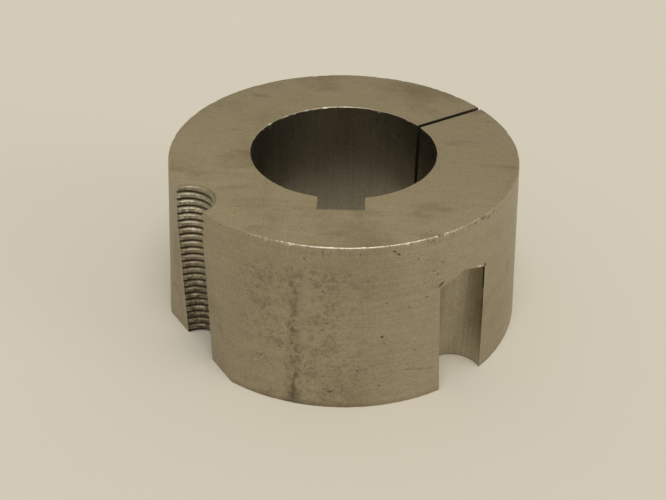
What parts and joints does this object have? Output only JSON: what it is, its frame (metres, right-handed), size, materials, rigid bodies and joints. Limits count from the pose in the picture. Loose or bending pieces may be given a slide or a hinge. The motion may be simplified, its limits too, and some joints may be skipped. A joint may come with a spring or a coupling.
{
  "type": "split taper bush",
  "caption": "Split taper bush with a keyed straight bore, plain half-holes for set screws and a threaded half-hole for jacking it out.",
  "frame": {"origin": "centre of the large end face, on the bore axis", "axes": "+Z along the bore from the large end to the small end, keyway towards -Y"},
  "size_m": [0.1078, 0.1078, 0.0508],
  "materials": {
    "machined_iron": "bare machined iron, dull grey-brown, with small pits, rust specks and bright worn rims"
  },
  "bodies": {
    "root": {"taper_bush": "machined_iron"}
  },
  "joints": []
}
